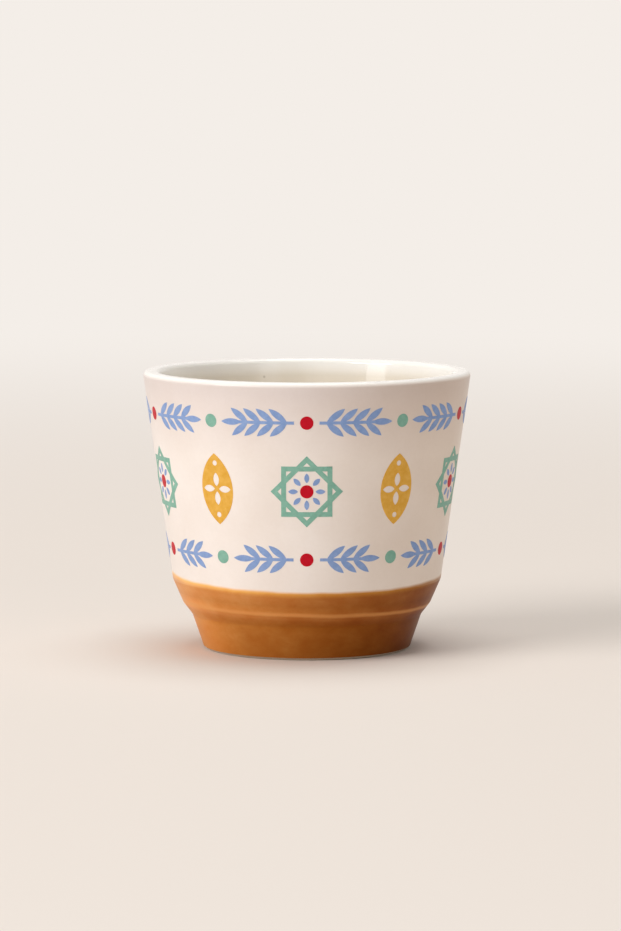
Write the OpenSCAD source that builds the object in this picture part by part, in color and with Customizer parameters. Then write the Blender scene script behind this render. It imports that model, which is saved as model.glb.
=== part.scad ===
// A small cup without a handle for Arabic coffee. One slip-cast clay body carries everything: a liner glaze,
// a cream glaze on the wall, an ochre glaze on the stepped base, a glaze in the foot well, and four colours of
// printed enamel. The cup stands on a bare clay ring at z = 0, and its axis is Z. Sizes are in millimetres.

/* [Cup] */
// Diameter over the glazed lip
rim_d = 65; // [56:0.5:90]
// Height of the glazed cup
cup_h = 55.4; // [48:0.1:90]
// Angle by which the wall leans outwards
wall_lean_angle = 8.1; // [4:0.1:12]
// Thickness of the clay wall
wall = 2.7; // [1.6:0.1:4]
// Rounding of the outer edge of the lip
lip_round = 0.7; // [0.4:0.1:1]
// Rounding of the inner edge of the lip
lip_inner_round = 0.8; // [0.4:0.05:1]
// Thickness of the clay floor above the foot well
floor_t = 3; // [2:0.1:5]
// Radius of the bend between the inner wall and the floor
bowl_round = 12; // [9:0.5:14]
// Thickness of every coat of glaze
glaze = 0.3; // [0.15:0.05:0.5]

/* [Stepped base] */
// Height of the foot cone
foot_h = 7; // [5:0.1:10]
// How far the foot cone draws in from its top to the ground
foot_draw = 2.4; // [1:0.1:4]
// Height of the step above the foot cone
step_h = 2.4; // [1.5:0.1:4]
// How far the step reaches out beyond the foot cone
step_out = 1.85; // [1.2:0.05:3]
// Height of the band between the step and the knee of the wall
band_h = 4.6; // [3:0.1:8]
// How far the band draws in from the knee to the step
band_draw = 2; // [1.4:0.05:3]
// Rounding of the knee between the wall and the band
knee_round = 1.6; // [0.5:0.1:3]
// Rounding of the edge of the step
step_round = 0.7; // [0.4:0.1:1.5]
// Rounding of the hollow under the step
neck_round = 2.5; // [1:0.1:4]

/* [Foot ring] */
// Width of the clay ring that the cup stands on
ring_w = 3.2; // [2:0.1:5]
// Depth of the well inside the ring
well_h = 1.8; // [1.3:0.1:3]
// How far the side of the well slopes inwards
well_draw = 0.9; // [0.3:0.1:2]
// Rounding at the top of the well
well_round = 1.2; // [0.8:0.1:1.4]
// Rounding of both edges of the ring
ring_round = 0.45; // [0.2:0.05:0.8]
// Height of the clay that is left bare above the ground
bare_h = 0.6; // [0.4:0.05:1]

/* [Print] */
// Thickness of the printed enamel
print_t = 0.1; // [0.06:0.01:0.2]
// Number of stars round the cup
stars = 5; // [4:1:6]
// Width of a star over its points
star_w = 14; // [11:0.5:15]
// Width of the lines of a star
line_w = 0.95; // [0.5:0.05:1.3]
// Width of a gold medallion
medallion_w = 7.4; // [5:0.1:9]
// Height of a gold medallion
medallion_h = 14; // [10:0.5:15]
// Length of a leaf
leaf_l = 4.4; // [3:0.1:5]
// Width of a leaf
leaf_w = 1.3; // [0.8:0.05:1.6]
// Distance between the pairs of leaves along a stem
leaf_step = 2.6; // [2:0.1:3.2]
// Width of a stem
stem_w = 0.6; // [0.4:0.05:1]
// Diameter of the dots
dot_d = 2.6; // [1.5:0.1:3.5]
// Clear space kept between neighbouring colours
print_gap = 0.8; // [0.5:0.1:1.5]

/* [Hidden] */
$fn = 96;

arc_step_angle = 7.5;    // a bend is drawn with at least one straight facet for each such turn
leaf_lean_angle = 38;    // between a leaf and its stem
star_petals = 8;         // round the dot in the middle of a star
cut_petals = 4;          // cut out of the middle of a medallion
start_share = 0.9;       // where the outline of a print starts to reach out, of the radius of the knee
row_shares = [1 / 6, 1 / 2, 5 / 6];    // heights of the printed rows, of the straight wall
petal_w_share = 0.5;     // width of a petal, of its length
cut_petal_share = 0.36;  // length of a petal cut out of a medallion, of the medallion's width
eye_d_share = 0.14;      // diameter of an eye, of the medallion's width

// Heights and radii of the corners of the clay, before they are rounded
step_z = foot_h + step_h;
knee_z = step_z + band_h;
floor_z = well_h + floor_t;
lip_z = cup_h - glaze;
lip_centre = [rim_d / 2 - lip_round - glaze, lip_z - lip_round];

function unit(angle) = [cos(angle), sin(angle)];
// Where the outer side of the wall ends and the rounding of the lip starts
lip_outside = lip_centre + lip_round * unit(-wall_lean_angle);
function outer_wall(z) = [lip_outside.x + (z - lip_outside.y) * tan(wall_lean_angle), z];
function inner_wall(z) = outer_wall(z) - [wall / cos(wall_lean_angle), 0];

lip_outer = outer_wall(lip_z);
lip_inner = inner_wall(lip_z);
knee = outer_wall(knee_z);
step = [knee.x - band_draw, step_z];
neck = [step.x - step_out, foot_h];
foot = [neck.x - foot_draw, 0];
ring_inside = [foot.x - ring_w, 0];
well = [ring_inside.x - well_draw, well_h];
bowl = inner_wall(floor_z);

// A path runs along the surface with the clay on its left. It is a list of bends, and straight stretches join them.
// A bend is [centre, radius, facing, turn]: the facing is the angle at which the surface looks outwards where the
// bend starts, and the radius of a hollow bend is negative. So a coat on the clay has the same bends, and only
// their radii grow by its thickness.
function facing(from, to) = atan2(from.x - to.x, to.y - from.y);
function turn_between(a, b) = (b - a + 540) % 360 - 180;
function bend(before, at, after, round) =
    let (start = facing(before, at))
    let (turn = turn_between(start, facing(at, after)))
    let (radius = sign(turn) * round)
    [at - radius / cos(turn / 2) * unit(start + turn / 2), radius, start, turn];
function end(at, angle) = [at, 0, angle, 0];
function first_half(b) = [b[0], b[1], b[2], b[3] / 2];
function last_half(b) = [b[0], b[1], b[2] + b[3] / 2, b[3] / 2];
function between(a, b, z) = a + (b - a) * (z - a.y) / (b.y - a.y);
function bend_points(b, coat, steps) = [
    for (k = [0 : steps]) b[0] + (b[1] + coat) * unit(b[2] + b[3] * k / max(steps, 1))
];
function trace(path, coat) = [
    for (b = path, p = bend_points(b, coat, ceil(abs(b[3]) / arc_step_angle))) p
];
function backwards(list) = [for (k = [len(list) - 1 : -1 : 0]) list[k]];

well_bend = bend([0, well_h], well, ring_inside, well_round);
ring_inner_bend = bend(well, ring_inside, foot, ring_round);
ring_outer_bend = bend(ring_inside, foot, neck, ring_round);
neck_bend = bend(foot, neck, step, neck_round);
step_bend = bend(neck, step, knee, step_round);
knee_bend = bend(step, knee, lip_outer, knee_round);
lip_outer_bend = bend(knee, lip_outer, lip_inner, lip_round);
lip_inner_bend = bend(lip_outer, lip_inner, bowl, lip_inner_round);
bowl_bend = bend(lip_inner, bowl, [0, floor_z], bowl_round);
well_middle = end([0, well_h], -90);
floor_middle = end([0, floor_z], 90);

// The coats stop square to the clay, at the bare ring, at the knee and in the middle of the flat lip
well_glaze_end = end(between(well, ring_inside, bare_h), facing(well, ring_inside));
base_glaze_end = end(between(foot, neck, bare_h), facing(foot, neck));
lip_middle = end((lip_outer + lip_inner) / 2, 90);
clay_path = [
    well_middle, well_bend, ring_inner_bend, ring_outer_bend, neck_bend, step_bend,
    knee_bend, lip_outer_bend, lip_inner_bend, bowl_bend, floor_middle
];
well_path = [well_middle, well_bend, well_glaze_end];
base_path = [base_glaze_end, neck_bend, step_bend, first_half(knee_bend)];
cream_path = [last_half(knee_bend), lip_outer_bend, lip_middle];
liner_path = [lip_middle, lip_inner_bend, bowl_bend, floor_middle];
print_path = [end(knee, -wall_lean_angle), end(lip_outside, -wall_lean_angle)];

// Places of the printed rows
pitch_angle = 360 / stars;
wall_rise = lip_centre.y - knee_z;
function row_z(row) = knee_z + row_shares[row] * wall_rise;
function row_r(row) = outer_wall(row_z(row)).x;

// Solid of revolution under the whole path
module turned(path) {
    rotate_extrude()
        polygon(trace(path, 0));
}

// Coat of even thickness along a path, from one depth over the clay to another
module coat(path, from, to) {
    rotate_extrude()
        polygon(concat(trace(path, to), backwards(trace(path, from))));
}

// Enamel on the wall, in the outline of the flat shapes that stand in front of it
module printed() {
    intersection() {
        coat(print_path, glaze, glaze + print_t);
        union() children();
    }
}

// A flat shape, stretched out through the wall at a height and an angle round the cup
module facing_out(z, angle) {
    rotate([0, 0, angle])
        translate([0, -knee.x * start_share, z])
            rotate([90, 0, 0])
                linear_extrude(rim_d / 2)
                    children();
}

// The same flat shape at every star, or moved on round the cup by a share of the pitch
module each_star(row, pitch_share = 0) {
    for (k = [0 : stars - 1])
        facing_out(row_z(row), (k + pitch_share) * pitch_angle)
            children();
}

// Pointed oval between two arcs, lying along X
module pointed_oval(length, width) {
    arc_r = (length * length + width * width) / (4 * width);
    intersection_for (side = [-1, 1])
        translate([0, side * (arc_r - width / 2)])
            circle(arc_r);
}

// Ring of pointed ovals between two radii
module rosette(count, inner_r, length) {
    for (k = [0 : count - 1])
        rotate(k * 360 / count)
            translate([inner_r + length / 2, 0])
                pointed_oval(length, length * petal_w_share);
}

module square_line(side) {
    difference() {
        square(side, center = true);
        square(side - 2 * line_w, center = true);
    }
}

// Eight-pointed star of two interlaced squares
module star() {
    for (turn = [0, 45])
        rotate(turn)
            square_line(star_w * cos(45));
}

// Petals between the dot in the middle of a star and the lines round it
module star_blossom() {
    room = star_w * cos(45) / 2 - line_w - dot_d / 2;
    rosette(star_petals, (dot_d + print_gap) / 2, room - print_gap);
}

// Upright pointed oval with a small blossom cut out of its middle, and an eye half-way from there to each tip
module medallion() {
    blossom_inner_r = medallion_w * eye_d_share / 2;
    petal_l = medallion_w * cut_petal_share;
    eye_z = (blossom_inner_r + petal_l + medallion_h / 2) / 2;
    difference() {
        rotate(90)
            pointed_oval(medallion_h, medallion_w);
        rosette(cut_petals, blossom_inner_r, petal_l);
        for (side = [-1, 1])
            translate([0, side * eye_z])
                circle(d = medallion_w * eye_d_share);
    }
}

// Leafy stem along X, centred, that grows towards +X or is mirrored
module sprig(row, growth) {
    room = row_r(row) * PI * pitch_angle / 360 - dot_d - 2 * print_gap;
    pairs = floor((room - leaf_l) / leaf_step);
    length = pairs * leaf_step + leaf_l;
    mirror([growth < 0 ? 1 : 0, 0])
        translate([-length / 2, 0]) {
            translate([0, -stem_w / 2])
                square([length - leaf_l / 2, stem_w]);
            translate([length - leaf_l / 2, 0])
                pointed_oval(leaf_l, leaf_w);
            for (k = [0 : pairs - 1], side = [-1, 1])
                translate([(k + 1 / 2) * leaf_step, 0])
                    rotate(side * leaf_lean_angle)
                        translate([leaf_l / 2, 0])
                            pointed_oval(leaf_l, leaf_w);
        }
}

module clay_body() {
    color("#d8cfc0")
        turned(clay_path);
}

module inner_glaze() {
    color("#f4efe4")
        coat(liner_path, 0, glaze);
}

module outer_glaze() {
    color("#f1e8dc")
        coat(cream_path, 0, glaze);
}

module base_glaze() {
    color("#b0702c")
        coat(base_path, 0, glaze);
}

module foot_well_glaze() {
    color("#f1e8dc")
        coat(well_path, 0, glaze);
}

module green_print() {
    color("#8db8a0")
        printed() {
            each_star(1)
                star();
            for (row = [0, 2])
                each_star(row, 1 / 2)
                    circle(d = dot_d);
        }
}

module gold_print() {
    color("#e9b949")
        printed()
            each_star(1, 1 / 2)
                medallion();
}

module blue_print() {
    color("#8ca6d0")
        printed() {
            each_star(1)
                star_blossom();
            for (row = [0, 2], side = [-1, 1])
                each_star(row, side / 4)
                    sprig(row, side);
        }
}

module red_print() {
    color("#c30a2b")
        printed()
            for (row = [0 : 2])
                each_star(row)
                    circle(d = dot_d);
}

clay_body();
inner_glaze();
outer_glaze();
base_glaze();
foot_well_glaze();
green_print();
gold_print();
blue_print();
red_print();
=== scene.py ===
# %% [markdown]
# # A printed and glazed cup for Arabic coffee
#
# The object is a small cup without a handle. One slip-cast stoneware body carries a liner glaze inside, a
# cream glaze on the wall, an ochre glaze on the stepped base, and a frieze printed in four enamel colours.
# This notebook dresses the cup: it takes the exact solids as a frame, makes smooth pieces from them, and
# gives each piece the finish that its real counterpart has. Everything is in metres, and the cup stands at
# the origin with Z up.

# %% Load the frame
import math

import bmesh
import bpy
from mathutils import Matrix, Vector


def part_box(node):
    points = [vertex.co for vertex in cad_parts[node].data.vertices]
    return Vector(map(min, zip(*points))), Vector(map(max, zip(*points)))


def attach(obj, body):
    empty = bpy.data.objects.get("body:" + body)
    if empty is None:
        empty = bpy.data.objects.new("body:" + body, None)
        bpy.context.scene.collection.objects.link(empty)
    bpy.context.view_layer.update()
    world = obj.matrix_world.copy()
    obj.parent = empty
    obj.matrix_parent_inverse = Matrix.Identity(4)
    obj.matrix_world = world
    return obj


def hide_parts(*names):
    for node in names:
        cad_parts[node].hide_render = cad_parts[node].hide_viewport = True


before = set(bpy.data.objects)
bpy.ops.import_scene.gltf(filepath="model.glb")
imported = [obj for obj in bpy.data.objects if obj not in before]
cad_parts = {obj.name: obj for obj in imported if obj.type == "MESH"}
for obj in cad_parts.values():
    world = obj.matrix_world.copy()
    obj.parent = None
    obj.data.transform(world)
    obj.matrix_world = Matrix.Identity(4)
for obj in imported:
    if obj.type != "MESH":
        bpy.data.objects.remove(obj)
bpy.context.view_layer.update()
MM = 0.001

# %% [markdown]
# ## Reading the cup from the frame
#
# A turned or cast cup is its profile, swept round an axis. The frame holds that profile already, because
# the body and each coat of glaze are solids of their own: where one is cut by a plane through the axis, its
# outline appears. The outline could be typed in again from measurements, but cutting the solid is shorter
# and can't disagree with it.
#
# The cut lies a micron beside the axis, so that it crosses the faces and doesn't run along their edges. The
# half of the outline with negative x is thrown away, and points on a straight stretch are dissolved.

# %% Cut a solid to its profile
HAIR = 0.001 * MM
STRAIGHT = math.radians(0.3)


def everything(bm):
    return bm.verts[:] + bm.edges[:] + bm.faces[:]


def profile_of(node):
    """The closed half outline of a revolved node, as a wire in the XZ plane with x above zero."""
    bm = bmesh.new()
    bm.from_mesh(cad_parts[node].data)
    bmesh.ops.remove_doubles(bm, verts=bm.verts, dist=HAIR)
    bmesh.ops.bisect_plane(
        bm, geom=everything(bm), plane_co=(0, HAIR, 0), plane_no=(0, 1, 0), clear_inner=True,
        clear_outer=True,
    )
    bmesh.ops.bisect_plane(
        bm, geom=everything(bm), plane_co=(0, 0, 0), plane_no=(1, 0, 0), clear_inner=True
    )
    for vert in bm.verts:
        vert.co.y = 0
    bmesh.ops.remove_doubles(bm, verts=bm.verts, dist=2 * HAIR)
    bmesh.ops.dissolve_limit(bm, angle_limit=STRAIGHT, verts=bm.verts, edges=bm.edges)
    return bm


for node in ("clay_body", "inner_glaze", "outer_glaze", "base_glaze", "foot_well_glaze"):
    wire = profile_of(node)
    print(node, "profile has", len(wire.verts), "points and", len(wire.edges), "edges")
    wire.free()

# %% [markdown]
# The wall between the knee and the lip is a plain cone, and the prints lie on it. The profile of the cream
# coat has two long straight edges there, one against the clay and one outside. The one outside lies further
# from the axis, and it gives the cone: a radius at one height, and a slope.

# %% Find the cone of the wall
wire = profile_of("outer_glaze")
longest = sorted(wire.edges, key=lambda edge: edge.calc_length())[-2:]
outside = max(longest, key=lambda edge: edge.verts[0].co.x + edge.verts[1].co.x)
wall_low, wall_high = sorted((vert.co.copy() for vert in outside.verts), key=lambda point: point.z)
wire.free()
wall_slope = (wall_high.x - wall_low.x) / (wall_high.z - wall_low.z)


def wall_radius(z):
    return wall_low.x + (z - wall_low.z) * wall_slope


rim_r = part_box("outer_glaze")[1].x
rim_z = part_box("outer_glaze")[1].z
print(f"the wall leans {math.degrees(math.atan(wall_slope)):.2f} degrees")
print(f"the lip has a radius of {rim_r / MM:.2f} mm at a height of {rim_z / MM:.2f} mm")

# %% [markdown]
# ## Camera and light
#
# The camera comes first, because every finish is judged through it. It stands about 0.9 m away with a long
# lens and looks a little down on the cup, so the mouth is a narrow ellipse.

# %% Camera
CAMERA_DISTANCE = 875 * MM
CAMERA_HEIGHT = 125.1 * MM
AIM_HEIGHT = 36.3 * MM
AIM_SIDE = 0.72 * MM
LENS_MM = 170.6
SENSOR_MM = 36.0


def look_at(obj, target):
    obj.rotation_mode = "QUATERNION"
    obj.rotation_quaternion = (Vector(target) - obj.location).to_track_quat("-Z", "Y")


camera_data = bpy.data.cameras.new("camera")
camera_data.lens = LENS_MM
camera_data.sensor_width = SENSOR_MM
camera = bpy.data.objects.new("camera", camera_data)
bpy.context.scene.collection.objects.link(camera)
camera.location = (AIM_SIDE, -CAMERA_DISTANCE, CAMERA_HEIGHT)
look_at(camera, (AIM_SIDE, 0, AIM_HEIGHT))
bpy.context.scene.camera = camera
print("camera at, in mm:", [round(part / MM, 1) for part in camera.location])

# %% [markdown]
# The light is one large soft lamp from the left and a little in front, a weaker one overhead, and an even
# fill from all sides. On a round cup this gives one slow gradient from left to right, and it lights the
# inside of the far wall on the right. Three dim lamps at the left, in front and at the right play the panes
# of a window: they add little light, but the glossy liner mirrors them as soft bright patches.
#
# All lamps stand two metres away or more, so that cup and floor get an even light. A lamp's power could be
# found by trial, but it follows from how bright a white surface facing it should be: that level times pi
# squared times the distance squared. Together the levels render a colour about as it is written.

# %% Lamps
scene = bpy.context.scene
scene.view_settings.view_transform = "Standard"


def hex_colour(text):
    """An sRGB colour such as #f0e7db as linear red, green, blue and alpha."""
    parts = [int(text[k : k + 2], 16) / 255 for k in (1, 3, 5)]
    return tuple(p / 12.92 if p <= 0.04045 else ((p + 0.055) / 1.055) ** 2.4 for p in parts) + (1.0,)


def lamp(name, place, width, height, level, colour):
    """An oblong lamp that lights a surface facing it so that it renders at this share of its own colour."""
    data = bpy.data.lights.new(name, "AREA")
    data.shape = "RECTANGLE"
    data.size = width
    data.size_y = height
    data.energy = level * math.pi ** 2 * Vector(place).length_squared
    data.color = hex_colour(colour)[:3]
    obj = bpy.data.objects.new(name, data)
    scene.collection.objects.link(obj)
    obj.location = place
    look_at(obj, (0, 0, rim_z / 2))


lamp("key_lamp", (-1.69, -1.1, 1.18), width=1.5, height=0.9, level=0.51, colour="#fffdfb")
lamp("top_lamp", (0.2, 0.3, 2.4), width=1.6, height=1.6, level=0.42, colour="#ffffff")
lamp("window_lamp", (-1.68, -1.02, 0.66), width=0.6, height=0.8, level=0.11, colour="#ffffff")
lamp("pane_lamp_1", (1.02, -1.72, 0.76), width=0.6, height=0.6, level=0.03, colour="#ffffff")
lamp("pane_lamp_2", (-0.33, -1.97, 0.76), width=0.66, height=0.6, level=0.016, colour="#ffffff")

# %% [markdown]
# ## Nodes
#
# The world and the materials are trees of nodes. One small function adds any node with its settings and its
# inputs, so that each line below says only what is special about that node. An input is called by the name
# of its socket, such as From_Min. Where sockets share a name, as those of a Math node do, it is called by
# its number, such as _0. The inputs have a function of their own, because a material's surface is made
# first and gets its inputs last.

# %% Add a node
def feed(node, **inputs):
    """Gives a node its inputs. Each is a value, or the socket of another node, which is linked."""
    for name, value in inputs.items():
        socket = node.inputs[int(name[1:])] if name[0] == "_" else node.inputs[name.replace("_", " ")]
        if isinstance(value, bpy.types.NodeSocket):
            node.id_data.links.new(value, socket)
        else:
            socket.default_value = value


def add(tree, kind, settings=None, **inputs):
    """Adds a node with its settings, which are its own properties, and its inputs."""
    node = tree.nodes.new(kind)
    for name, value in (settings or {}).items():
        setattr(node, name, value)
    feed(node, **inputs)
    return node


# %% [markdown]
# The world gives the even fill. To the camera and in reflections it is one pale tone instead. The Light
# Path node tells the two apart, because it knows what kind of ray is asking.

# %% World
STUDIO_TONE = "#f4eee8"
FILL_TONE = "#fffcf7"
FILL_LEVEL = 0.38
LARGER = {"operation": "MAXIMUM"}


def seen_directly(tree):
    """1 for what the camera sees, also mirrored or through glass, and 0 for light that falls on things."""
    rays = add(tree, "ShaderNodeLightPath")
    mirrored = add(
        tree, "ShaderNodeMath", LARGER, _0=rays.outputs["Is Glossy Ray"],
        _1=rays.outputs["Is Transmission Ray"],
    )
    seen = add(tree, "ShaderNodeMath", LARGER, _0=rays.outputs["Is Camera Ray"], _1=mirrored.outputs[0])
    return seen.outputs[0]


world = bpy.data.worlds.new("studio")
scene.world = world
world.use_nodes = True
tree = world.node_tree
tree.nodes.clear()
fill = add(tree, "ShaderNodeBackground", Color=hex_colour(FILL_TONE), Strength=FILL_LEVEL)
pale = add(tree, "ShaderNodeBackground", Color=hex_colour(STUDIO_TONE), Strength=1.0)
mixed = add(tree, "ShaderNodeMixShader", _0=seen_directly(tree), _1=fill.outputs[0], _2=pale.outputs[0])
add(tree, "ShaderNodeOutputWorld", Surface=mixed.outputs[0])
print("world has", len(tree.nodes), "nodes")

# %% [markdown]
# ## Materials
#
# A material here is a small tree of nodes. Patterns read the Object coordinates, which are metres in the
# frame, so a pattern's scale is one over its real size, and the height above the table is their Z. A noise
# gives values round 0.5 and seldom comes near 0 or 1, so a Map Range stretches its middle to what is
# needed.
#
# Tones are mixed by one of two settings: the first lays one colour over another, and the second multiplies
# them, as a tint does. With both, the result is never brighter than white.

# %% Start a material
COLOUR_MIX = {"data_type": "RGBA", "clamp_result": True}
COLOUR_MULTIPLY = {"data_type": "RGBA", "blend_type": "MULTIPLY", "clamp_result": True}
SMOOTH = {"interpolation_type": "SMOOTHSTEP"}


def per(size_mm):
    """The noise scale that gives a pattern of about this size in millimetres."""
    return 1 / (size_mm * MM)


def place_in_mm(x, y, z):
    """A place that is given in millimetres, in metres."""
    return (x * MM, y * MM, z * MM)


def new_material(name):
    material = bpy.data.materials.new(name)
    material.use_nodes = True
    tree = material.node_tree
    tree.nodes.clear()
    surface = add(tree, "ShaderNodeBsdfPrincipled")
    add(tree, "ShaderNodeOutputMaterial", Surface=surface.outputs[0])
    place = add(tree, "ShaderNodeTexCoord").outputs["Object"]
    return material, tree, surface, place


# %% [markdown]
# Many tones of a glaze follow the height, because the melt runs down as it is fired. A Color Ramp holds
# such tones, but its stops lie between 0 and 1. So this helper takes them in metres and scales them.

# %% Colours over a height
def ramp_over(tree, value, low, high, stops):
    """Colours over a value: each stop is a value between low and high, and a colour."""
    share = add(tree, "ShaderNodeMapRange", Value=value, From_Min=low, From_Max=high)
    ramp = add(tree, "ShaderNodeValToRGB", Fac=share.outputs[0])
    elements = ramp.color_ramp.elements
    elements[0].position = (stops[0][0] - low) / (high - low)
    elements[0].color = hex_colour(stops[0][1])
    elements[1].position = (stops[-1][0] - low) / (high - low)
    elements[1].color = hex_colour(stops[-1][1])
    for at, tone in stops[1:-1]:
        elements.new((at - low) / (high - low)).color = hex_colour(tone)
    return ramp.outputs[0]


# %% [markdown]
# ### Where the two wall glazes meet
#
# The cup is glazed cream first, and then its base is dipped in ochre, held by hand. So the line between the
# two lies near the knee but not exactly on it: it is lower at the front than at the back, it wanders a
# little, and it is soft, because the two melt into each other. Both glazes work this line out from the same
# numbers, so it can cross the seam between their coats.

# %% Glaze line
LINE_Z = 15.35 * MM
LINE_RISE_X = -0.01
LINE_RISE_Y = 0.045
LINE_WANDER = 0.18 * MM
LINE_SOFT = 0.38 * MM


def above_line(tree, place):
    """The height above the glaze line, which is below zero in the ochre glaze."""
    level = add(
        tree, "ShaderNodeVectorMath", {"operation": "DOT_PRODUCT"}, _0=place,
        _1=(-LINE_RISE_X, -LINE_RISE_Y, 1.0),
    )
    wander = add(tree, "ShaderNodeTexNoise", Vector=place, Scale=per(9), Detail=2.0, Roughness=0.5)
    line = add(
        tree, "ShaderNodeMapRange", Value=wander.outputs[0], From_Min=0.25, From_Max=0.75,
        To_Min=LINE_Z - LINE_WANDER, To_Max=LINE_Z + LINE_WANDER,
    )
    above = add(
        tree, "ShaderNodeMath", {"operation": "SUBTRACT"}, _0=level.outputs["Value"], _1=line.outputs[0]
    )
    return above.outputs[0]


# %% [markdown]
# ### Tone of the ochre glaze
#
# The base is dipped in an iron glaze. Such a glaze is transparent: where it lies thin the pale clay shines
# through and it turns to light orange, and where it pools in a hollow it is deep brown. So its colour is a
# ramp over height, with its stops placed from the edge of the step and the neck below it, and it lightens
# towards the glaze line. The tones could be painted on an image, but a ramp follows the form all round the
# cup and needs no image. Noise bends the height a little, so that no tone ends in a ruled line. The tones
# also lean a little across the cup, higher where X is negative: that is painted light, which lifts the
# light line at the step where the lamp on the left catches its upper face.

# %% Ochre over height
STEP_Z = 9.4 * MM
NECK_Z = 7.0 * MM
TONE_TOP = 16 * MM
# Painted light: the tones lean across the cup to lift the step's light line on the lit side.
PAINTED_LIGHT_TILT = 0.02
TONE_WANDER = 0.3 * MM
OCHRE_TONES = [
    (0.6 * MM, "#975a23"),
    (NECK_Z - 1.6 * MM, "#9d5f27"),
    (NECK_Z + 0.2 * MM, "#9b5c23"),
    (NECK_Z + 1.0 * MM, "#a1602a"),
    (STEP_Z - 0.8 * MM, "#ae6c35"),
    (STEP_Z + 0.6 * MM, "#b37036"),
    (STEP_Z + 1.8 * MM, "#a96932"),
    (STEP_Z + 3.2 * MM, "#b2713a"),
]
LINE_TONE = "#dda252"
LINE_TONE_FROM = -1.4 * MM
LINE_TONE_FULL = 0.2 * MM


def wandering_height(tree, place):
    """The height above the table, leaning across the cup and bent by noise."""
    wander = add(tree, "ShaderNodeTexNoise", Vector=place, Scale=per(9), Detail=3.0, Roughness=0.55)
    offset = add(
        tree, "ShaderNodeMapRange", Value=wander.outputs[0], To_Min=-TONE_WANDER, To_Max=TONE_WANDER
    )
    apart = add(tree, "ShaderNodeSeparateXYZ", Vector=place)
    # The lean is painted light: it lifts the tones on the lit side.
    leaning_for_painted_light = add(
        tree, "ShaderNodeMath", {"operation": "MULTIPLY_ADD"}, _0=apart.outputs["X"], _1=PAINTED_LIGHT_TILT,
        _2=apart.outputs["Z"],
    )
    bent = add(tree, "ShaderNodeMath", {"operation": "ADD"}, _0=leaning_for_painted_light.outputs[0], _1=offset.outputs[0])
    return bent.outputs[0]


def ochre_over_height(tree, bent, above):
    """The tone of an even ochre coat, from the bent height and the height above the glaze line."""
    by_height = ramp_over(tree, bent, 0.0, TONE_TOP, OCHRE_TONES)
    near_line = add(
        tree, "ShaderNodeMapRange", SMOOTH, Value=above, From_Min=LINE_TONE_FROM, From_Max=LINE_TONE_FULL
    )
    lightened = add(
        tree, "ShaderNodeMix", COLOUR_MIX, Factor=near_line.outputs[0], A=by_height, B=hex_colour(LINE_TONE)
    )
    return lightened.outputs["Result"]


# %% [markdown]
# A dipped coat is never even: streaks lie in it that are wider than they are high. Over that, the tone is
# painted lighter and yellower on the side where X is negative and deeper brown on the other side, as
# painted light and shade from the lamp on the left, and lighter in one patch low on the foot, as painted
# light there.
#
# Light is filtered once more by each further layer of glaze, so a thickness is a power of the colour: below
# one it gives a lighter and yellower tone, and above one a deeper brown. The streaks work through this
# power, and so does the painted side. The painted light and shade also come in as plain factors on the
# colour.

# %% Streaks and painted light
# Painted light and shade: the side where X is negative is painted lighter, the other side darker.
PAINTED_LIT_SIDE_POWER = 0.87
PAINTED_SHADED_SIDE_POWER = 1.23
PAINTED_LIT_SIDE_GAIN = 1.46
PAINTED_SHADED_SIDE_GAIN = 0.74
PAINTED_SIDE_REACH = 0.7 * rim_r
# Painted light: one patch low on the foot, on the lit side, is painted lighter.
PAINTED_LIGHT_PATCH = place_in_mm(-21.0, -8.0, 3.0)
PAINTED_PATCH_GAIN = 1.36
PAINTED_PATCH_CORE = 2 * MM
PAINTED_PATCH_REACH = 15 * MM
STREAK_SHAPE = (1, 1, 1.7)
STREAK_DEPTH = 0.1


def streaks_and_painted_light(tree, place, tone):
    """The tone of an even ochre coat, with streaks, and with painted light and shade on one side and in a
    patch.
    """
    apart = add(tree, "ShaderNodeSeparateXYZ", Vector=place)
    # Painted light and shade by side, and a painted light patch low on the foot.
    painted_side_gain = add(
        tree, "ShaderNodeMapRange", Value=apart.outputs["X"], From_Min=-PAINTED_SIDE_REACH, From_Max=PAINTED_SIDE_REACH,
        To_Min=PAINTED_LIT_SIDE_GAIN, To_Max=PAINTED_SHADED_SIDE_GAIN,
    )
    away = add(tree, "ShaderNodeVectorMath", {"operation": "DISTANCE"}, _0=place, _1=PAINTED_LIGHT_PATCH)
    painted_patch_gain = add(
        tree, "ShaderNodeMapRange", SMOOTH, Value=away.outputs["Value"], From_Min=PAINTED_PATCH_CORE,
        From_Max=PAINTED_PATCH_REACH, To_Min=PAINTED_PATCH_GAIN, To_Max=1.0,
    )
    for gain in (painted_side_gain, painted_patch_gain):
        gained = add(tree, "ShaderNodeMix", COLOUR_MULTIPLY, Factor=1.0, A=tone, B=gain.outputs[0])
        tone = gained.outputs["Result"]

    painted_side_power = add(
        tree, "ShaderNodeMapRange", Value=apart.outputs["X"], From_Min=-PAINTED_SIDE_REACH, From_Max=PAINTED_SIDE_REACH,
        To_Min=PAINTED_LIT_SIDE_POWER, To_Max=PAINTED_SHADED_SIDE_POWER,
    )
    flat = add(tree, "ShaderNodeMapping", Vector=place, Scale=STREAK_SHAPE)
    streaks = add(
        tree, "ShaderNodeTexNoise", Vector=flat.outputs[0], Scale=per(5), Detail=5.0, Roughness=0.65
    )
    streaked = add(
        tree, "ShaderNodeMapRange", Value=streaks.outputs[0], From_Min=0.3, From_Max=0.7,
        To_Min=1 + STREAK_DEPTH, To_Max=1 - STREAK_DEPTH,
    )
    streaks_and_painted_power = add(
        tree, "ShaderNodeMath", {"operation": "MULTIPLY"}, _0=streaked.outputs[0], _1=painted_side_power.outputs[0]
    )
    return add(tree, "ShaderNodeGamma", Color=tone, Gamma=streaks_and_painted_power.outputs[0]).outputs[0]


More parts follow.
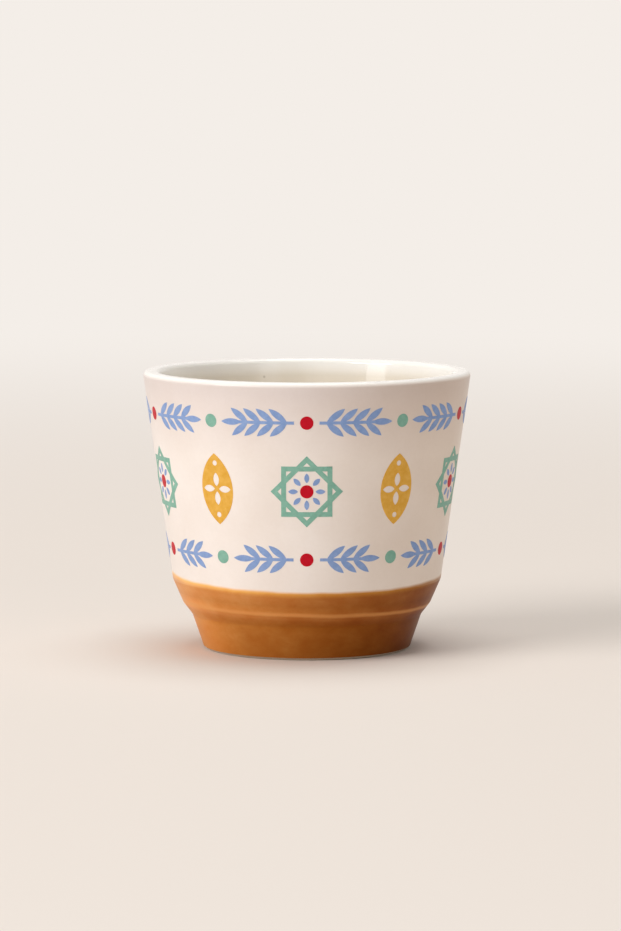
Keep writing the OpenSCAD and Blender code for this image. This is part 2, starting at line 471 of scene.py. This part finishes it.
# %% [markdown]
# At the edge of the step the melt is drawn thin, and the glaze breaks to a narrow light line. It is laid
# over the other tones last, by a ramp of greys over the same bent height: black leaves the tone alone, and
# the light grey gives about half of the line's own tone.

# %% Ochre tone
STEP_LINE_TONE = "#e3a05e"
STEP_LINE_SHARE = [
    (STEP_Z - 0.55 * MM, "#000000"),
    (STEP_Z - 0.15 * MM, "#c0c0c0"),
    (STEP_Z + 0.15 * MM, "#c0c0c0"),
    (STEP_Z + 0.6 * MM, "#000000"),
]


def ochre_tone(tree, place, above):
    """The colour of the ochre glaze at a place that lies this high above the glaze line."""
    bent = wandering_height(tree, place)
    even_coat = ochre_over_height(tree, bent, above)
    streaked_and_painted_coat = streaks_and_painted_light(tree, place, even_coat)
    on_edge = ramp_over(tree, bent, 0.0, TONE_TOP, STEP_LINE_SHARE)
    broken = add(
        tree, "ShaderNodeMix", COLOUR_MIX, Factor=on_edge, A=streaked_and_painted_coat, B=hex_colour(STEP_LINE_TONE)
    )
    return broken.outputs["Result"]


def dipped(tree, place, cream):
    """Cream above the glaze line and the ochre tone below it, melting into each other."""
    above = above_line(tree, place)
    below = add(
        tree, "ShaderNodeMapRange", SMOOTH, Value=above, From_Min=-LINE_SOFT, From_Max=LINE_SOFT,
        To_Min=1.0, To_Max=0.0,
    )
    ochre = ochre_tone(tree, place, above)
    both = add(tree, "ShaderNodeMix", COLOUR_MIX, Factor=below.outputs[0], A=cream, B=ochre)
    return both.outputs["Result"]


# %% [markdown]
# ### Cream glaze
#
# The wall has an opaque cream glaze, sprayed on and fired to a soft gloss. Iron in the clay bleeds through
# it in rare tiny specks. A fine noise could strew them, but they would be too many and too even, so three
# places are listed: one inside below the lip, and two on the outside.

# %% Iron specks
SPECK_PLACES = [
    place_in_mm(-8.8, 27.5, 51.8),
    place_in_mm(21.4, 22.2, 42.5),
    place_in_mm(-27.6, 8.0, 28.0),
]
SPECK_TONE = "#8a7346"
SPECK_SHARE = 0.4
SPECK_CORE = 0.1 * MM
SPECK_REACH = 0.35 * MM


def with_specks(tree, place, tone):
    """The same tone with the iron specks in it."""
    for speck in SPECK_PLACES:
        away = add(tree, "ShaderNodeVectorMath", {"operation": "DISTANCE"}, _0=place, _1=speck)
        bleed = add(
            tree, "ShaderNodeMapRange", Value=away.outputs["Value"], From_Min=SPECK_CORE,
            From_Max=SPECK_REACH, To_Min=SPECK_SHARE, To_Max=0.0,
        )
        specked = add(
            tree, "ShaderNodeMix", COLOUR_MIX, Factor=bleed.outputs[0], A=tone, B=hex_colour(SPECK_TONE)
        )
        tone = specked.outputs["Result"]
    return tone


# %% [markdown]
# A cream glaze is never one flat colour: the coat pools and thins over centimetres, and it is mottled over
# a millimetre. Below the lip the tone is also painted a touch greyer, as painted shade, and one side of the
# cup is painted warmer, as painted warm shade on that side.

# %% Cream tone
MOTTLE_SHARE = 0.3


def cream_tone(tree, place, thick, thin, painted_warm_shade, painted_shade_by_depth):
    """The tone below the lip. A painted warm shade tints one side, and the painted shade under the lip
    comes with its depths in mm.
    """
    pooling = add(tree, "ShaderNodeTexNoise", Vector=place, Scale=per(14), Detail=2.0, Roughness=0.5)
    mottle = add(tree, "ShaderNodeTexNoise", Vector=place, Scale=per(0.9), Detail=3.0, Roughness=0.6)
    cover = add(
        tree, "ShaderNodeMath", {"operation": "MULTIPLY_ADD"}, _0=mottle.outputs[0], _1=MOTTLE_SHARE,
        _2=pooling.outputs[0],
    )
    level = add(tree, "ShaderNodeMapRange", Value=cover.outputs[0], From_Min=0.45, From_Max=0.9)
    pooled = add(
        tree, "ShaderNodeMix", COLOUR_MIX, Factor=level.outputs[0], A=hex_colour(thin), B=hex_colour(thick)
    )
    specked = with_specks(tree, place, pooled.outputs["Result"])

    apart = add(tree, "ShaderNodeSeparateXYZ", Vector=place)
    # Below: painted shade under the lip, and painted warm shade on the side where X is positive.
    stops = [(rim_z - depth * MM, tint) for depth, tint in painted_shade_by_depth]
    painted_shade_under_lip = ramp_over(tree, apart.outputs["Z"], stops[0][0], rim_z, stops)
    painted_shaded = add(tree, "ShaderNodeMix", COLOUR_MULTIPLY, Factor=1.0, A=specked, B=painted_shade_under_lip)
    painted_shade_side = add(tree, "ShaderNodeMapRange", Value=apart.outputs["X"], From_Min=0.0, From_Max=rim_r)
    painted_warm_shaded = add(
        tree, "ShaderNodeMix", COLOUR_MULTIPLY, Factor=painted_shade_side.outputs[0], A=painted_shaded.outputs["Result"],
        B=hex_colour(painted_warm_shade),
    )
    return painted_warm_shaded.outputs["Result"]


# %% [markdown]
# The fired surface has a faint ripple like orange peel. The flat lip itself is painted a little whiter, as
# painted light on its top, and it has a gloss of its own and ripples more.
#
# The liner is the same glaze, poured, so it is thicker and much glossier. Below the lip it is painted a
# little greyer, as painted shade inside the cup, greyest three to five millimetres down. Only the outside
# is
# dipped in the ochre: the air caught in the well under the foot keeps the dip out, so the well stays cream.
# All three coats are glass, so they have the index of refraction of glass.

# %% Cream glaze
GLAZE_IOR = 1.5
# Painted light: the flat lip is painted whiter, as the light on its top.
PAINTED_LIP_LIGHT = "#f8f4ef"
LIP_ROUGHNESS = 0.16
LIP_FROM = rim_z - 0.8 * MM
LIP_FULL = rim_z - 0.2 * MM
RIPPLE_HEIGHT = 0.12 * MM
WALL_RIPPLE = 0.1
LIP_RIPPLE = 1.0


def cream_glaze(name, thick, thin, painted_warm_shade, painted_shade_by_depth, roughness, specular, is_dipped):
    material, tree, surface, place = new_material(name)
    tone = cream_tone(tree, place, thick, thin, painted_warm_shade, painted_shade_by_depth)
    height = add(tree, "ShaderNodeSeparateXYZ", Vector=place).outputs["Z"]
    on_lip = add(tree, "ShaderNodeMapRange", Value=height, From_Min=LIP_FROM, From_Max=LIP_FULL)
    # The lip is painted whiter here, as painted light.
    with_painted_lip_light = add(
        tree, "ShaderNodeMix", COLOUR_MIX, Factor=on_lip.outputs[0], A=tone, B=hex_colour(PAINTED_LIP_LIGHT)
    )
    cream = with_painted_lip_light.outputs["Result"]
    colour = dipped(tree, place, cream) if is_dipped else cream

    ripple = add(tree, "ShaderNodeTexNoise", Vector=place, Scale=per(3.2), Detail=1.0)
    uneven = add(tree, "ShaderNodeMapRange", Value=on_lip.outputs[0], To_Min=WALL_RIPPLE, To_Max=LIP_RIPPLE)
    bump = add(
        tree, "ShaderNodeBump", Height=ripple.outputs[0], Distance=RIPPLE_HEIGHT, Strength=uneven.outputs[0]
    )
    gloss = add(tree, "ShaderNodeMapRange", Value=on_lip.outputs[0], To_Min=roughness, To_Max=LIP_ROUGHNESS)
    feed(
        surface, Base_Color=colour, Roughness=gloss.outputs[0], Normal=bump.outputs[0], IOR=GLAZE_IOR,
        Specular_IOR_Level=specular,
    )
    print(name, "has", len(tree.nodes), "nodes")
    return material


# The warm colour here is painted warm shade on the side where X is positive.
SPRAYED = {"thick": "#f3eae4", "thin": "#ece1d9", "painted_warm_shade": "#f8efe4", "roughness": 0.3, "specular": 0.35}
POURED = {"thick": "#fbf9f5", "thin": "#f7f4ee", "painted_warm_shade": "#ffffff", "roughness": 0.05, "specular": 0.5}
# Painted shade: the wall is painted greyer below the lip, most at one to two millimetres down.
WALL_PAINTED_SHADE = [(15.0, "#ffffff"), (5.0, "#f2eff0"), (2.0, "#ece9eb"), (0.9, "#ece9eb"), (0.35, "#ffffff")]
WELL_TINTS = [(15.0, "#ffffff"), (0.35, "#ffffff")]
# Painted shade: the liner is painted greyer below the lip, most at three to five millimetres down.
LINER_PAINTED_SHADE = [(12.0, "#f6f2ec"), (5.0, "#e9e0d3"), (3.4, "#e9e2d7"), (2.2, "#f8f5f1"), (1.2, "#ffffff")]
wall_glaze = cream_glaze("cream wall glaze", **SPRAYED, painted_shade_by_depth=WALL_PAINTED_SHADE, is_dipped=True)
well_glaze = cream_glaze("cream well glaze", **SPRAYED, painted_shade_by_depth=WELL_TINTS, is_dipped=False)
liner_glaze = cream_glaze("cream liner glaze", **POURED, painted_shade_by_depth=LINER_PAINTED_SHADE, is_dipped=False)

# %% [markdown]
# ### Ochre glaze
#
# The ochre coat takes the tone of the dip, and the little of it that lies above the glaze line is cream. An
# iron glaze like this has a soft sheen that takes on its own brown, so what it mirrors is weak and tinted.
# Its surface ripples about as faintly as the cream wall.

# %% Ochre glaze
CREAM_AT_LINE = "#ede3dc"
OCHRE_SHEEN = "#b0682a"


def ochre_glaze(name):
    material, tree, surface, place = new_material(name)
    ripple = add(tree, "ShaderNodeTexNoise", Vector=place, Scale=per(2.6), Detail=1.0)
    bump = add(tree, "ShaderNodeBump", Height=ripple.outputs[0], Distance=0.03 * MM, Strength=0.5)
    feed(
        surface, Base_Color=dipped(tree, place, hex_colour(CREAM_AT_LINE)), Normal=bump.outputs[0],
        Roughness=0.36, IOR=GLAZE_IOR, Specular_IOR_Level=0.1, Specular_Tint=hex_colour(OCHRE_SHEEN),
    )
    print(name, "has", len(tree.nodes), "nodes")
    return material


base_glaze = ochre_glaze("ochre base glaze")

# %% [markdown]
# ### Bare clay
#
# Only the ring that the cup stands on is bare: a pale grey-brown stoneware, wiped clean of glaze before the
# firing, so it is matte with a fine grain.

# %% Bare clay
CLAY_DARK = "#a89581"
CLAY_LIGHT = "#d2c3b0"


def bare_clay(name):
    material, tree, surface, place = new_material(name)
    grain = add(tree, "ShaderNodeTexNoise", Vector=place, Scale=per(0.35), Detail=4.0, Roughness=0.7)
    tone = add(
        tree, "ShaderNodeMix", COLOUR_MIX, Factor=grain.outputs[0], A=hex_colour(CLAY_DARK),
        B=hex_colour(CLAY_LIGHT),
    )
    bump = add(tree, "ShaderNodeBump", Height=grain.outputs[0], Distance=0.05 * MM, Strength=0.8)
    feed(surface, Base_Color=tone.outputs["Result"], Normal=bump.outputs[0], Roughness=0.85)
    print(name, "has", len(tree.nodes), "nodes")
    return material


clay = bare_clay("bare stoneware")

# %% [markdown]
# ### Printed enamel
#
# The frieze is screen-printed in four enamel colours and fired on. Enamel is a soft, slightly powdery layer
# that lies thinner here and thicker there, so each colour is mottled a little and is less glossy than the
# glaze. It is glass as well, so it has the same index of refraction.

# %% Printed enamel
def enamel(name, full, thin):
    material, tree, surface, place = new_material(name)
    cover = add(tree, "ShaderNodeTexNoise", Vector=place, Scale=per(1.1), Detail=4.0, Roughness=0.65)
    level = add(tree, "ShaderNodeMapRange", Value=cover.outputs[0], From_Min=0.35, From_Max=0.75)
    tone = add(
        tree, "ShaderNodeMix", COLOUR_MIX, Factor=level.outputs[0], A=hex_colour(full), B=hex_colour(thin)
    )
    bump = add(tree, "ShaderNodeBump", Height=cover.outputs[0], Distance=0.01 * MM, Strength=0.4)
    feed(
        surface, Base_Color=tone.outputs["Result"], Normal=bump.outputs[0], Roughness=0.42, IOR=GLAZE_IOR,
        Specular_IOR_Level=0.15,
    )
    print(name, "has", len(tree.nodes), "nodes")
    return material


enamels = {
    "green_print": enamel("green enamel", "#7bad9b", "#8dbcab"),
    "gold_print": enamel("gold enamel", "#dda43a", "#e9b758"),
    "blue_print": enamel("blue enamel", "#7f9acb", "#92aad6"),
    "red_print": enamel("red enamel", "#bd001c", "#c80626"),
}

# %% [markdown]
# ## The clay and its glazes
#
# The clay body and the coats of glaze could be shown as the frame's own solids, but their round faces are
# coarse, and a glossy glaze would show every facet. So each profile is spun once round the axis in many
# fine steps. The points on the axis are merged, so that the floor closes in one point, and only then are
# the faces turned outwards.

# %% Spin a profile
SPIN_STEPS = 288
SHARP_EDGE = math.radians(35)


def piece_from(bm, name, material, node):
    """Makes a finished piece: smooth but for real edges, riding on the cup, in place of its node."""
    mesh = bpy.data.meshes.new(name)
    bm.to_mesh(mesh)
    bm.free()
    mesh.materials.append(material)
    mesh.shade_smooth()
    mesh.set_sharp_from_angle(angle=SHARP_EDGE)
    obj = bpy.data.objects.new(name, mesh)
    scene.collection.objects.link(obj)
    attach(obj, "root")
    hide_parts(node)
    print(name, "has", len(mesh.polygons), "faces")


def spun(node):
    bm = profile_of(node)
    bmesh.ops.spin(
        bm, geom=everything(bm), cent=(0, 0, 0), axis=(0, 0, 1), dvec=(0, 0, 0), angle=math.tau,
        steps=SPIN_STEPS, use_merge=True, use_duplicate=False,
    )
    bmesh.ops.remove_doubles(bm, verts=bm.verts, dist=HAIR)
    bmesh.ops.recalc_face_normals(bm, faces=bm.faces)
    return bm


piece_from(spun("clay_body"), "stoneware_body", clay, "clay_body")
piece_from(spun("inner_glaze"), "liner_coat", liner_glaze, "inner_glaze")
piece_from(spun("outer_glaze"), "cream_coat", wall_glaze, "outer_glaze")
piece_from(spun("base_glaze"), "ochre_coat", base_glaze, "base_glaze")
piece_from(spun("foot_well_glaze"), "well_coat", well_glaze, "foot_well_glaze")

# %% [markdown]
# ## The printed frieze
#
# The prints exist in the frame with their exact outlines, but their faces are long triangles, which would
# show as flat spots in the gloss. So each print is copied and cut by planes through the axis, and every
# point is moved to the true cone of the wall: the points of the outer side stand proud by the thickness of
# the enamel, and those of the inner side lie a little inside the glaze. In the frame the inner side lies on
# the wall and the outer side a tenth of a millimetre further out, so half of that tells the two apart.

# %% Wrap the prints
SLICES = 60
PRINT_PROUD = 0.04 * MM
PRINT_SUNK = 0.03 * MM
HALF_SOLID_PRINT = 0.05 * MM


def wrapped(node):
    bm = bmesh.new()
    bm.from_mesh(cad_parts[node].data)
    bmesh.ops.remove_doubles(bm, verts=bm.verts, dist=HAIR)
    for k in range(SLICES):
        angle = math.pi * (k + 0.5) / SLICES
        normal = (math.cos(angle), math.sin(angle), 0)
        bmesh.ops.bisect_plane(bm, geom=everything(bm), plane_co=(0, 0, 0), plane_no=normal)
    for vert in bm.verts:
        radius = math.hypot(vert.co.x, vert.co.y)
        wall_r = wall_radius(vert.co.z)
        target = wall_r + (PRINT_PROUD if radius > wall_r + HALF_SOLID_PRINT else -PRINT_SUNK)
        vert.co.x *= target / radius
        vert.co.y *= target / radius
    return bm


for node, material in enamels.items():
    colour = node.split("_")[0]
    piece_from(wrapped(node), f"{colour}_enamel", material, node)

# %% [markdown]
# ## Floor
#
# The cup stands on a pale round floor. Near the cup it is plain matte paint that takes the cup's shadow.
# Further out it passes into the tone of the studio for the camera, so no edge and no horizon shows.

# %% Floor
FLOOR_R = 6.0
FLOOR_SIDES = 96
FLOOR_TONE = "#e8dfd7"
FADE_FROM = 0.15
FADE_TO = 0.9


def pale_floor(name):
    material, tree, surface, place = new_material(name)
    feed(surface, Base_Color=hex_colour(FLOOR_TONE), Roughness=0.9, Specular_IOR_Level=0.2)
    far = add(tree, "ShaderNodeVectorMath", {"operation": "LENGTH"}, _0=place)
    fade = add(
        tree, "ShaderNodeMapRange", SMOOTH, Value=far.outputs["Value"], From_Min=FADE_FROM, From_Max=FADE_TO
    )
    shown = add(
        tree, "ShaderNodeMath", {"operation": "MULTIPLY"}, _0=fade.outputs[0], _1=seen_directly(tree)
    )
    glow = add(tree, "ShaderNodeEmission", Color=hex_colour(STUDIO_TONE), Strength=1.0)
    mixed = add(tree, "ShaderNodeMixShader", _0=shown.outputs[0], _1=surface.outputs[0], _2=glow.outputs[0])
    output = next(node for node in tree.nodes if node.type == "OUTPUT_MATERIAL")
    feed(output, Surface=mixed.outputs[0])
    return material


bm = bmesh.new()
bmesh.ops.create_circle(bm, cap_ends=True, segments=FLOOR_SIDES, radius=FLOOR_R)
mesh = bpy.data.meshes.new("floor")
bm.to_mesh(mesh)
bm.free()
mesh.materials.append(pale_floor("pale studio floor"))
floor = bpy.data.objects.new("floor", mesh)
scene.collection.objects.link(floor)
print("floor radius in m:", FLOOR_R)
